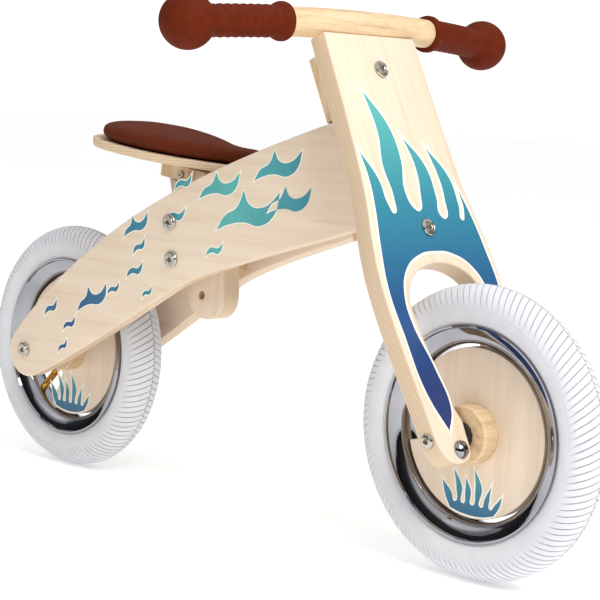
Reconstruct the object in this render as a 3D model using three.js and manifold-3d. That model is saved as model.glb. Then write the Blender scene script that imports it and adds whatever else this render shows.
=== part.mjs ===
// A child's wooden balance bike: two splayed plywood side panels carry the rear wheel, the saddle and
// the steering head; a plywood fork board with an arch carries the front wheel and the handlebar.
// Millimetres. +X is forward, +Y is the rider's left, +Z is up, and the ground is z = 0.
import * as THREE from "three";
import { mergeVertices } from "three/addons/utils/BufferGeometryUtils.js";
import Module from "manifold-3d";

const wasm = await Module();
wasm.setup();

// ---- driving dimensions ----
const wheelbase = 560;
const tyreRadius = 130;
const tyreHalfWidth = 21;
const rimRadius = 94.6;
const rimDepth = 19.8; // from the rim's edge in to the disc's edge
const discRadius = rimRadius - rimDepth;
const discThickness = 15;
const hubRadius = 26;
const hubReach = 25; // from the middle of the wheel to the end of its wooden hub
const spacerRadius = 12.5;

const panelThickness = 18;
const panelSpread = 70; // outer face of a side panel from the middle plane, at the rear axle
const headSpread = 29; // the same, this far behind the front axle:
const headSetback = 150;
const splayRun = (panelSpread - headSpread) / (wheelbase - headSetback);
const panelEndRadius = 27;

const boardThickness = 19;
const archGap = 23; // from the tyre up to the arch
const archTop = tyreRadius + archGap; // along the steering axis, from the height of the front axle
const boardTop = archTop + 219;
const boardHalfTop = 60;
const boardHalfWidest = 80.5;
const footHalfWidth = 70;
const archHalfWidth = 51;
const legInside = 29.3;
const legEnd = 25;

const steeringLean = THREE.MathUtils.degToRad(25.8);
const axleAhead = 27; // front axle ahead of the steering axis
const pinRadius = 5;
const forkBlockHalfWidth = 26;
const lowerBlock = [archTop + 13, archTop + 44.5];
const headRange = [archTop + 49.5, archTop + 150.5];
const upperBlock = [archTop + 155.5, boardTop - 0.5];

const barRadius = 13.3;
const barSweepRadius = 1078; // the bar curves back towards the rider
const gripStart = 94;
const ballCentre = 197;
const ballRadius = 24.4;
const gripCore = 10.8; // the bar is turned down inside the grips

const postThickness = 22;
const postLean = THREE.MathUtils.degToRad(6.2);
const holePitch = 36.5;
const seatTilt = 21; // how much the saddle's tail stands above its nose
const seatBoardThickness = 8;
const cushionHeight = 24;

const axleRadius = 5;
const boltRadius = 4;
const boltHeadRadius = 7.9;
const fit = 0.3; // gap between pieces that touch
const running = 0.5; // gap round a piece that turns or slides
const wheelSides = 36;
const boreSides = 14;
const boltSides = 10;

// ---- colours ----
const birch = { color: 0xecd9b8, roughness: 0.55, metalness: 0 };
const beech = { color: 0xdcb98c, roughness: 0.6, metalness: 0 };
const brownRubber = { color: 0x6b2b12, roughness: 0.7, metalness: 0 };
const brownHide = { color: 0x6f3217, roughness: 0.5, metalness: 0 };
const whiteTyre = { color: 0xe0e1e5, roughness: 0.8, metalness: 0 };
const blackRubber = { color: 0x1b1b1d, roughness: 0.8, metalness: 0 };
const chrome = { color: 0xd5d8db, roughness: 0.08, metalness: 1 };
const nickel = { color: 0xb9b4a8, roughness: 0.25, metalness: 1 };
const brass = { color: 0xb98a3c, roughness: 0.3, metalness: 1 };

// ---- frames: everything is measured from the rear axle; the fork's own frame leans back ----
const root = new THREE.Group();
const bike = new THREE.Group();
bike.position.set(-wheelbase / 2, 0, tyreRadius);
root.add(bike);

const fork = new THREE.Group(); // local x is square to the board, y is left, z runs up the steering axis
fork.rotation.y = -steeringLean;
fork.position.set(
  wheelbase - axleAhead * Math.cos(steeringLean),
  0,
  -axleAhead * Math.sin(steeringLean),
);
bike.add(fork);
root.updateMatrixWorld(true);

const boardMiddle = axleAhead; // the axle lies in the middle of the board's thickness
const boardBack = boardMiddle - boardThickness / 2;
const boardFront = boardMiddle + boardThickness / 2;
const splay = Math.atan(splayRun);
const alongPanel = 1 / Math.cos(splay);

// A point of the fork's frame, seen from the rear axle.
function forkPoint(ahead, up) {
  const point = new THREE.Vector3(ahead, 0, up).applyMatrix4(fork.matrix);
  return [point.x, point.z];
}

function panelOuter(x) {
  return panelSpread - splayRun * x;
}

function panelInner(x) {
  return panelOuter(x) - panelThickness * alongPanel;
}

// ---- solids ----
function solidOf(geometry) {
  const bare = geometry.clone();
  bare.deleteAttribute("normal");
  bare.deleteAttribute("uv");
  const merged = mergeVertices(bare, 1e-4);
  return new wasm.Manifold(
    new wasm.Mesh({
      numProp: 3,
      vertProperties: merged.attributes.position.array,
      triVerts: new Uint32Array(merged.index.array),
    }),
  );
}

function geometryOf(solid) {
  const { vertProperties, triVerts } = solid.getMesh();
  const geometry = new THREE.BufferGeometry();
  geometry.setAttribute("position", new THREE.BufferAttribute(vertProperties, 3));
  geometry.setIndex(new THREE.BufferAttribute(triVerts, 1));
  geometry.computeVertexNormals();
  return geometry;
}

function piece(name, parent, geometry, look, place = [0, 0, 0], turn = [0, 0, 0]) {
  const mesh = new THREE.Mesh(geometry, new THREE.MeshStandardMaterial(look));
  mesh.name = name;
  mesh.position.set(...place);
  mesh.rotation.set(...turn);
  parent.add(mesh);
  mesh.updateWorldMatrix(true, false);
  return mesh;
}

// Keeps what lies inside the tools to keep, joins on more, then cuts. Tools are in world space.
function carve(mesh, cut, keep = [], join = []) {
  let solid = solidOf(mesh.geometry.clone().applyMatrix4(mesh.matrixWorld));
  for (const tool of keep) solid = solid.intersect(solidOf(tool));
  for (const tool of join) solid = solid.add(solidOf(tool));
  for (const tool of cut) solid = solid.subtract(solidOf(tool));
  const back = mesh.matrixWorld.clone().invert();
  mesh.geometry = geometryOf(solid).applyMatrix4(back);
}

// A round tool between two points of a frame, as world geometry.
function rodTool(frame, from, to, radius, sides = boreSides) {
  const start = new THREE.Vector3(...from).applyMatrix4(frame.matrixWorld);
  const end = new THREE.Vector3(...to).applyMatrix4(frame.matrixWorld);
  const along = end.clone().sub(start);
  const rod = new THREE.CylinderGeometry(radius, radius, along.length(), sides);
  const turn = new THREE.Quaternion().setFromUnitVectors(
    new THREE.Vector3(0, 1, 0),
    along.clone().normalize(),
  );
  rod.applyQuaternion(turn);
  const middle = start.add(end).multiplyScalar(0.5);
  return rod.translate(middle.x, middle.y, middle.z);
}

function boxTool(frame, from, to) {
  const size = to.map((value, i) => value - from[i]);
  const middle = to.map((value, i) => (value + from[i]) / 2);
  return new THREE.BoxGeometry(...size).translate(...middle).applyMatrix4(frame.matrixWorld);
}

// Turned about the Y axis from [radius, distance] pairs.
function turned(profile, sides = 18) {
  return new THREE.LatheGeometry(profile.map((p) => new THREE.Vector2(...p)), sides);
}

function ring(inner, outer, from, to, sides = boreSides) {
  return turned([[inner, from], [outer, from], [outer, to], [inner, to], [inner, from]], sides);
}

// A socket-head bolt: the head's face is at distance 0 and the shank runs to length.
function boltShape(headRadius, headHeight, shankRadius, length) {
  const socket = headRadius * 0.36;
  const edge = headRadius * 0.2;
  return turned(
    [
      [0, headHeight * 0.6],
      [socket, headHeight * 0.6],
      [socket, 0],
      [headRadius - edge, 0],
      [headRadius, edge],
      [headRadius, headHeight],
      [shankRadius, headHeight],
      [shankRadius, length],
      [0, length],
    ],
    boltSides,
  );
}

const facingLeft = [Math.PI, 0, 0]; // turns a head from the right side to the left side
const facingFront = [0, 0, Math.PI / 2];
const facingDown = [Math.PI / 2, 0, 0];

// A side view (x, z) pushed across: from y = 0 towards the right by the depth.
function sideExtrusion(shape, depth, bevel = 0) {
  const geometry = new THREE.ExtrudeGeometry(shape, {
    depth: depth - 2 * bevel,
    bevelEnabled: bevel > 0,
    bevelThickness: bevel,
    bevelSize: bevel,
    bevelOffset: -bevel,
    bevelSegments: 1,
    curveSegments: 12,
  });
  geometry.translate(0, 0, bevel);
  const across = new THREE.Matrix4().makeBasis(
    new THREE.Vector3(1, 0, 0),
    new THREE.Vector3(0, 0, 1),
    new THREE.Vector3(0, -1, 0),
  );
  return geometry.applyMatrix4(across);
}

// ---- wheels ----
// The tyre is a horseshoe in section, open towards the hub.
function tyreProfile() {
  const bead = rimRadius - 9.6;
  const wide = rimRadius + 13.4;
  const outside = [
    [bead, 12.6],
    [rimRadius + 0.8, 15.4],
    [rimRadius + 4.4, 19.2],
    [wide, tyreHalfWidth],
    [tyreRadius - 10, 17.2],
    [tyreRadius, 4],
  ];
  const inside = [
    [tyreRadius - 6, 4],
    [wide + 4, 15.4],
    [rimRadius + 3, 12.2],
    [bead, 8.6],
  ];
  const mirrored = (points) => points.map(([r, y]) => [r, -y]);
  return [
    ...mirrored(outside),
    ...outside.toReversed(),
    ...inside.toReversed(),
    ...mirrored(inside),
    [bead, -12.6],
  ];
}

// The rim is a shallow channel: its bright side faces the hub and its bed carries the tyre.
function rimProfile() {
  const side = [
    [discRadius + 1.3, discThickness / 2 + 1],
    [rimRadius - 7, 17.2],
    [rimRadius, 18.2],
  ];
  const bed = [
    [rimRadius - 1, 16.2],
    [rimRadius - 8, 14.6],
    [discRadius + 3.3, discThickness / 2 + 0.4],
  ];
  const half = [...bed.reverse(), ...side.reverse()];
  const other = half.map(([r, y]) => [r, -y]).reverse();
  return [...half, ...other, half[0]];
}

const notchMiddle = { rear: 225, front: 172 }; // where the valve's cut-out stands, in degrees from ahead
const notchHalfAngle = 22;
const notchInner = 34;
const valveTip = 44; // nearest the hub
const valveRadius = 4;
const valveSeat = 6; // how far the valve runs on past the disc's edge

// A ply disc with a cut-out for the valve, from its rim to near the hub.
function discShape(middle) {
  const from = THREE.MathUtils.degToRad(middle + notchHalfAngle);
  const to = THREE.MathUtils.degToRad(middle - notchHalfAngle + 360);
  const shape = new THREE.Shape();
  shape.absarc(0, 0, discRadius, from, to, false);
  shape.absarc(0, 0, notchInner, to, from + 2 * Math.PI, false);
  return shape;
}

function addWheel(name, parent, place, middle) {
  const wheel = new THREE.Group();
  wheel.position.set(...place);
  wheel.rotation.y = -parent.rotation.y; // both wheels stand upright, whatever carries them
  parent.add(wheel);
  wheel.updateWorldMatrix(true, false);
  piece(`${name}_tyre`, wheel, turned(tyreProfile(), wheelSides), whiteTyre);
  const tube = new THREE.TorusGeometry(rimRadius + 11.4, 10.5, 8, 28);
  piece(`${name}_inner_tube`, wheel, tube, blackRubber, [0, 0, 0], [Math.PI / 2, 0, 0]);
  const rim = piece(`${name}_rim`, wheel, turned(rimProfile(), wheelSides), chrome);
  const disc = piece(
    `${name}_disc`,
    wheel,
    new THREE.ExtrudeGeometry(discShape(middle), {
      depth: discThickness,
      bevelEnabled: false,
      curveSegments: 28,
    })
      .translate(0, 0, -discThickness / 2)
      .rotateX(Math.PI / 2),
    birch,
  );
  const bushRadius = axleRadius + 5;
  carve(disc, [rodTool(wheel, [0, -20, 0], [0, 20, 0], bushRadius + fit)]);
  const hubStart = discThickness / 2 + fit;
  const hubs = { right: [-hubReach, -hubStart], left: [hubStart, hubReach] };
  for (const [side, [from, to]] of Object.entries(hubs)) {
    piece(`${name}_hub_${side}`, wheel, ring(bushRadius + fit, hubRadius, from, to, 24), beech);
  }
  const bush = ring(axleRadius + running, bushRadius, -hubReach, hubReach);
  piece(`${name}_bush`, wheel, bush, blackRubber);
  const angle = THREE.MathUtils.degToRad(middle);
  const out = [Math.cos(angle), 0, Math.sin(angle)];
  const stemLength = discRadius + valveSeat - valveTip;
  const stem = turned(
    [
      [0, 0],
      [3, 0],
      [3, 7],
      [valveRadius, 8],
      [valveRadius, stemLength],
      [0, stemLength],
    ],
    14,
  );
  const valve = piece(
    `${name}_valve`,
    wheel,
    stem,
    brass,
    out.map((value) => value * valveTip),
  );
  valve.quaternion.setFromUnitVectors(new THREE.Vector3(0, 1, 0), new THREE.Vector3(...out));
  valve.updateWorldMatrix(true, false);
  const bore = [out.map((v) => v * (discRadius - 6)), out.map((v) => v * (discRadius + 12))];
  carve(rim, [rodTool(wheel, bore[0], bore[1], valveRadius + fit)]);
  return wheel;
}

// ---- side panels ----
const boltLine = { x: 201.5, z: 152.7 }; // the upper saddle bolt, from the rear axle
const lowerBolt = {
  x: boltLine.x + holePitch * Math.sin(postLean),
  z: boltLine.z - holePitch * Math.cos(postLean),
};

function panelShape() {
  const centre = [4, -1];
  const upperAngle = THREE.MathUtils.degToRad(139);
  const lowerAngle = THREE.MathUtils.degToRad(298);
  const [topX, topZ] = forkPoint(-2, headRange[1] + 1);
  const [lowX, lowZ] = forkPoint(-2, headRange[0] - 0.5);
  const knee = [boltLine.x + 4.5, boltLine.z - 66.7];
  const run = lowX - knee[0];
  const shape = new THREE.Shape();
  shape.absarc(...centre, panelEndRadius, upperAngle, lowerAngle, false);
  shape.bezierCurveTo(60, -6, knee[0] - 54, knee[1] - 33, ...knee);
  shape.bezierCurveTo(knee[0] + run / 6, knee[1] + 22.5, knee[0] + run * 0.6, lowZ - 28, lowX, lowZ);
  shape.lineTo(topX, topZ);
  shape.bezierCurveTo(
    topX - 162,
    topZ - 54.5,
    centre[0] + 91,
    centre[1] + 146,
    centre[0] + panelEndRadius * Math.cos(upperAngle),
    centre[1] + panelEndRadius * Math.sin(upperAngle),
  );
  return shape;
}

function addPanel(side) {
  const sign = side === "right" ? -1 : 1;
  const geometry = sideExtrusion(panelShape(), panelThickness, 1.5).scale(alongPanel, 1, 1);
  if (sign < 0) geometry.translate(0, panelThickness, 0);
  const turn = [0, 0, -sign * splay];
  const panel = piece(`side_panel_${side}`, bike, geometry, birch, [0, sign * panelSpread, 0], turn);
  const across = (x, z, radius) => rodTool(bike, [x, sign * 5, z], [x, sign * 90, z], radius);
  const tools = [
    across(0, 0, axleRadius + fit),
    across(boltLine.x, boltLine.z, boltRadius + fit),
    across(lowerBolt.x, lowerBolt.z, boltRadius + fit),
  ];
  for (const up of pegHeights) {
    tools.push(rodTool(fork, [pegBack, 0, up], [pegBack, sign * pegReach, up], pegRadius + fit));
  }
  carve(panel, tools);
  return panel;
}

// ---- steering head ----
const pegRadius = 4;
const pegBack = -24;
const pegReach = 24;
const pegHeights = [(headRange[0] + headRange[1]) / 2];

function addHead() {
  const back = -42;
  const front = 3;
  const noseFront = 9.5;
  const noseHalfWidth = 14;
  const [low, high] = headRange;
  const middle = [(front + back) / 2, 0, (low + high) / 2];
  const block = piece(
    "head_block",
    fork,
    new THREE.BoxGeometry(front - back, 60, high - low),
    beech,
    middle,
  );
  const wedge = new THREE.Shape();
  const nearX = wheelbase - 300;
  const farX = wheelbase - 90;
  wedge.moveTo(nearX, -(panelInner(nearX) - fit));
  wedge.lineTo(farX, -(panelInner(farX) - fit));
  wedge.lineTo(farX, panelInner(farX) - fit);
  wedge.lineTo(nearX, panelInner(nearX) - fit);
  wedge.closePath();
  const prism = new THREE.ExtrudeGeometry(wedge, { depth: 600, bevelEnabled: false })
    .translate(0, 0, -200)
    .applyMatrix4(bike.matrixWorld);
  const tools = [rodTool(fork, [0, 0, low - 5], [0, 0, high + 5], pinRadius + running)];
  for (const up of pegHeights) {
    tools.push(rodTool(fork, [pegBack, -40, up], [pegBack, 40, up], pegRadius + fit));
  }
  const nose = boxTool(fork, [-1.6, -noseHalfWidth, low], [noseFront, noseHalfWidth, high]);
  carve(block, tools, [prism], [nose]);
  for (const [i, up] of pegHeights.entries()) {
    const peg = new THREE.CylinderGeometry(pegRadius, pegRadius, 2 * (pegReach - fit), 16);
    piece(`head_peg_${i + 1}`, fork, peg, beech, [pegBack, 0, up]);
  }
}

// ---- fork board and its blocks ----
function boardShape() {
  const shape = new THREE.Shape();
  const foot = 18;
  const half = [
    [boardHalfWidest, 132],
    [footHalfWidth + 0.6, 8],
  ];
  shape.moveTo(-boardHalfTop, boardTop);
  shape.bezierCurveTo(-boardHalfTop - 3, 280, -63, 236, -72, 196);
  shape.bezierCurveTo(-77, 174, -boardHalfWidest, 152, -half[0][0], half[0][1]);
  shape.bezierCurveTo(-boardHalfWidest, 92, -footHalfWidth - 4, 52, -half[1][0], half[1][1]);
  shape.quadraticCurveTo(-footHalfWidth + 1, -legEnd, -footHalfWidth + foot + 6, -legEnd);
  shape.quadraticCurveTo(-legInside, -legEnd, -legInside, -legEnd + 15);
  shape.lineTo(-legInside, 11);
  shape.lineTo(-legInside - 5, 22);
  shape.bezierCurveTo(-41, 60, -archHalfWidth, archTop - 61, -archHalfWidth, archTop - 41);
  shape.bezierCurveTo(-archHalfWidth, archTop - 15, -27, archTop, 0, archTop);
  shape.bezierCurveTo(27, archTop, archHalfWidth, archTop - 15, archHalfWidth, archTop - 41);
  shape.bezierCurveTo(archHalfWidth, archTop - 61, 41, 60, legInside + 5, 22);
  shape.lineTo(legInside, 11);
  shape.lineTo(legInside, -legEnd + 15);
  shape.quadraticCurveTo(legInside, -legEnd, footHalfWidth - foot - 6, -legEnd);
  shape.quadraticCurveTo(footHalfWidth - 1, -legEnd, half[1][0], half[1][1]);
  shape.bezierCurveTo(footHalfWidth + 4, 52, boardHalfWidest, 92, half[0][0], half[0][1]);
  shape.bezierCurveTo(boardHalfWidest, 152, 77, 174, 72, 196);
  shape.bezierCurveTo(63, 236, boardHalfTop + 3, 280, boardHalfTop, boardTop);
  shape.closePath();
  return shape;
}

const forkBoltHeights = [upperBlock[0] + 29.5, lowerBlock[0] + 20];
const forkBoltRadius = 3;
const forkBoltTip = pinRadius + 3;
const legBoltPlace = [43, -13]; // across and up, below the axle
const barHeight = boardTop + barRadius - 0.7;
const barAhead = boardMiddle + 2;
const barPegRadius = 4;
const barPegs = [-34, 34];
const barPegDepth = 18;
const barPegTop = barHeight + 7;
const axleHeadRadius = 6.7;
const axleHeadHeight = 4;
const axleSink = 64.5; // bottom of the recess for the front axle's heads

function addForkBoard() {
  const geometry = new THREE.ExtrudeGeometry(boardShape(), {
    depth: boardThickness - 3,
    bevelEnabled: true,
    bevelThickness: 1.5,
    bevelSize: 1.5,
    bevelOffset: -1.5,
    bevelSegments: 1,
    curveSegments: 5,
  });
  geometry.translate(0, 0, boardBack + 1.5);
  const upright = new THREE.Matrix4().makeBasis(
    new THREE.Vector3(0, 1, 0),
    new THREE.Vector3(0, 0, 1),
    new THREE.Vector3(1, 0, 0),
  );
  const board = piece("fork_board", fork, geometry.applyMatrix4(upright), birch);
  const through = [boardBack - 5, boardFront + 5];
  const tools = forkBoltHeights.map((up) =>
    rodTool(fork, [through[0], 0, up], [through[1], 0, up], forkBoltRadius + fit),
  );
  const cradle = new THREE.CylinderGeometry(barRadius + fit, barRadius + fit, 180, 24, 6);
  tools.push(bentBack(cradle).translate(barAhead, 0, barHeight).applyMatrix4(fork.matrixWorld));
  for (const sign of [-1, 1]) {
    const across = sign * legBoltPlace[0];
    const up = legBoltPlace[1];
    tools.push(rodTool(fork, [through[0], across, up], [through[1], across, up], forkBoltRadius + fit));
    const axleHole = [boardMiddle, sign * 20, 0];
    tools.push(rodTool(fork, axleHole, [boardMiddle, sign * 90, 0], axleRadius + fit));
    const sink = [boardMiddle, sign * axleSink, 0];
    tools.push(rodTool(fork, sink, [boardMiddle, sign * 90, 0], axleHeadRadius + fit));
  }
  for (const across of barPegs) {
    const low = [barAhead, across, boardTop - barPegDepth - fit];
    tools.push(rodTool(fork, low, [barAhead, across, boardTop + 9], barPegRadius + fit));
  }
  carve(board, tools);
}

function addForkBlock(name, [low, high], back) {
  const front = boardBack - fit;
  const size = [front - back, 2 * forkBlockHalfWidth, high - low];
  const block = piece(name, fork, new THREE.BoxGeometry(...size), beech, [
    (front + back) / 2,
    0,
    (low + high) / 2,
  ]);
  const tools = [rodTool(fork, [0, 0, low - 5], [0, 0, high + 5], pinRadius + fit)];
  for (const up of forkBoltHeights.filter((height) => height > low && height < high)) {
    tools.push(rodTool(fork, [forkBoltTip - 1, 0, up], [front + 5, 0, up], forkBoltRadius + fit));
  }
  return [block, tools];
}

const nutRadius = 9;
const nutHeight = 7;
const nutSeat = upperBlock[1] - 26;

function addFork() {
  addForkBoard();
  const [lower, lowerTools] = addForkBlock("fork_block_lower", lowerBlock, -16);
  carve(lower, lowerTools);
  const [upper, upperTools] = addForkBlock("fork_block_upper", upperBlock, -20);
  upperTools.push(rodTool(fork, [0, 0, nutSeat], [0, 0, boardTop + 20], nutRadius + 1));
  carve(upper, upperTools);

  const washers = {
    lower: [lowerBlock[1] + fit, headRange[0] - fit],
    upper: [headRange[1] + fit, upperBlock[0] - fit],
  };
  for (const [where, [from, to]] of Object.entries(washers)) {
    const washer = ring(pinRadius + fit, 11, from, to);
    piece(`steering_washer_${where}`, fork, washer, blackRubber, [0, 0, 0], facingDown);
  }
  const pinHead = lowerBlock[0] - fit - 6;
  const pin = boltShape(nutRadius, 6, pinRadius, nutSeat + nutHeight + 3 - pinHead);
  piece("steering_pin", fork, pin, nickel, [0, 0, pinHead], facingDown);
  const nut = new THREE.CylinderGeometry(nutRadius, nutRadius, nutHeight, 6);
  const nutMesh = piece("steering_nut", fork, nut, nickel, [0, 0, nutSeat + fit + nutHeight / 2], facingDown);
  carve(nutMesh, [rodTool(fork, [0, 0, nutSeat - 5], [0, 0, nutSeat + 20], pinRadius + 0.2)]);

  for (const [i, up] of forkBoltHeights.entries()) {
    const head = 3.2;
    const shape = boltShape(boltHeadRadius, head, forkBoltRadius, boardFront + fit + head - forkBoltTip);
    piece(`fork_bolt_${i + 1}`, fork, shape, nickel, [boardFront + fit + head, 0, up], facingFront);
  }
  for (const [side, sign] of [["right", -1], ["left", 1]]) {
    const dome = turned(
      [
        [0, 0],
        [4.6, 1.2],
        [7.4, 3.2],
        [8.1, 5.4],
        [8.1, 6],
        [forkBoltRadius, 6],
        [forkBoltRadius, 6 + boardThickness + 2],
        [0, 6 + boardThickness + 2],
      ],
      14,
    );
    const [across, up] = legBoltPlace;
    piece(`leg_bolt_${side}`, fork, dome, chrome, [boardFront + fit + 6, sign * across, up], facingFront);
  }
}

// ---- handlebar: straight pieces are bent back along one arc ----
function bentBack(geometry) {
  const position = geometry.attributes.position;
  for (let i = 0; i < position.count; i += 1) {
    const angle = position.getY(i) / barSweepRadius;
    const radius = barSweepRadius + position.getX(i);
    position.setX(i, radius * Math.cos(angle) - barSweepRadius);
    position.setY(i, radius * Math.sin(angle));
  }
  geometry.computeVertexNormals();
  return geometry;
}

function gripProfile() {
  const bore = gripCore + fit;
  const body = 14.2;
  const neckAngle = Math.asin(body / ballRadius);
  const steps = 9;
  const profile = [
    [bore, gripStart],
    [17, gripStart],
    [17, gripStart + 4],
    [body, gripStart + 7],
    [body, (gripStart + ballCentre) / 2],
  ];
  for (let step = 0; step < steps; step += 1) {
    const angle = neckAngle + ((Math.PI - neckAngle) * step) / steps;
    profile.push([ballRadius * Math.sin(angle), ballCentre - ballRadius * Math.cos(angle)]);
  }
  return [...profile, [0, ballCentre + ballRadius]];
}

function addHandlebar() {
  const coreEnd = ballCentre - 6;
  const shoulder = gripStart - fit;
  const profile = [
    [gripCore, -coreEnd],
    [gripCore, -shoulder],
    ...[-shoulder, -60, -30, 0, 30, 60, shoulder].map((y) => [barRadius, y]),
    [gripCore, shoulder],
    [gripCore, coreEnd],
  ];
  const bar = turned([[0, -coreEnd], ...profile, [0, coreEnd]], 18);
  const place = [barAhead, 0, barHeight];
  const mesh = piece("handlebar", fork, bentBack(bar), beech, place);
  const pegHole = (y) =>
    rodTool(fork, [barAhead, y, boardTop - 4], [barAhead, y, barPegTop + fit], barPegRadius + fit);
  carve(mesh, barPegs.map(pegHole));
  for (const [i, y] of barPegs.entries()) {
    const low = boardTop - barPegDepth;
    const peg = new THREE.CylinderGeometry(barPegRadius, barPegRadius, barPegTop - low, 16);
    piece(`bar_peg_${i + 1}`, fork, peg, beech, [barAhead, y, (low + barPegTop) / 2], facingDown);
  }
  const outer = gripProfile();
  for (const [side, sign] of [["left", 1], ["right", -1]]) {
    const closed = [...outer, [0, coreEnd + 1.5], [gripCore + fit, coreEnd + 1.5], outer[0]];
    const grip = turned(closed, 18);
    if (sign < 0) grip.rotateX(Math.PI);
    piece(`grip_${side}`, fork, bentBack(grip), brownRubber, place);
  }
}

// ---- axles ----
function addFrontAxle() {
  const end = axleSink - 0.5;
  const tipDepth = 22;
  const axle = new THREE.CylinderGeometry(axleRadius, axleRadius, 2 * end, 14);
  const mesh = piece("front_axle", fork, axle, nickel, [boardMiddle, 0, 0]);
  const tools = [];
  for (const [side, sign] of [["right", -1], ["left", 1]]) {
    const deep = [boardMiddle, sign * (end - tipDepth), 0];
    tools.push(rodTool(fork, deep, [boardMiddle, sign * 90, 0], forkBoltRadius + fit));
    const bolt = boltShape(axleHeadRadius, axleHeadHeight, forkBoltRadius, axleHeadHeight + tipDepth - 3);
    const turn = sign < 0 ? [0, 0, 0] : facingLeft;
    const place = [boardMiddle, sign * (axleSink + fit + axleHeadHeight), 0];
    piece(`front_axle_bolt_${side}`, fork, bolt, nickel, place, turn);
    const spacer = ring(axleRadius + fit, spacerRadius, hubReach + running, legInside - fit);
    const outward = sign < 0 ? facingLeft : [0, 0, 0];
    piece(`front_spacer_${side}`, fork, spacer, blackRubber, [boardMiddle, 0, 0], outward);
  }
  carve(mesh, tools);
}

function addRearAxle() {
  const end = panelOuter(0) - 8;
  const tipDepth = 22;
  const axle = new THREE.CylinderGeometry(axleRadius, axleRadius, 2 * end, 14);
  const mesh = piece("rear_axle", bike, axle, nickel);
  const tools = [];
  for (const [side, sign] of [["right", -1], ["left", 1]]) {
    tools.push(rodTool(bike, [0, sign * (end - tipDepth), 0], [0, sign * 90, 0], forkBoltRadius + fit));
    const head = 3.2;
    const face = panelOuter(-boltHeadRadius) + fit + head;
    const bolt = boltShape(boltHeadRadius, head, forkBoltRadius, face - end + tipDepth - 3);
    const inward = sign < 0 ? [0, 0, 0] : facingLeft;
    piece(`rear_axle_bolt_${side}`, bike, bolt, nickel, [0, sign * face, 0], inward);
    const spacer = ring(axleRadius + fit, spacerRadius, hubReach + running, panelInner(spacerRadius) - fit);
    piece(`rear_spacer_${side}`, bike, spacer, beech, [0, 0, 0], sign < 0 ? facingLeft : [0, 0, 0]);
  }
  carve(mesh, tools);
}

// ---- saddle ----
const seatRearX = 50;
const seatRearRadius = 57;
const seatNoseRadius = 17;
const seatNoseX = 263;
const seatLevel = 211; // board's upper face at the nose, above the rear axle

function seatRise(x) {
  const run = Math.max(0, (190 - (x - seatRearX)) / 190);
  return seatTilt * run ** 1.2;
}

function seatOutline(inset) {
  const rear = seatRearRadius - inset;
  const nose = seatNoseRadius - inset;
  const rearX = seatRearX + seatRearRadius;
  const shape = new THREE.Shape();
  shape.absarc(rearX, 0, rear, Math.PI / 2, (3 * Math.PI) / 2, false);
  shape.bezierCurveTo(rearX + 95, -rear, seatNoseX - 55, -nose, seatNoseX, -nose);
  shape.absarc(seatNoseX, 0, nose, -Math.PI / 2, Math.PI / 2, false);
  shape.bezierCurveTo(seatNoseX - 55, nose, rearX + 95, rear, rearX, rear);
  return shape;
}

function seatProfile(offset) {
  const shape = new THREE.Shape();
  const end = seatNoseX + 40;
  shape.moveTo(end, seatLevel + offset);
  for (let x = end - 15; x >= seatRearX - 20; x -= 15) shape.lineTo(x, seatLevel + seatRise(x) + offset);
  for (let x = seatRearX - 20; x <= end; x += 15) {
    shape.lineTo(x, seatLevel + seatRise(x) + offset - seatBoardThickness);
  }
  shape.lineTo(end, seatLevel + offset - seatBoardThickness);
  return shape;
}

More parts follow.
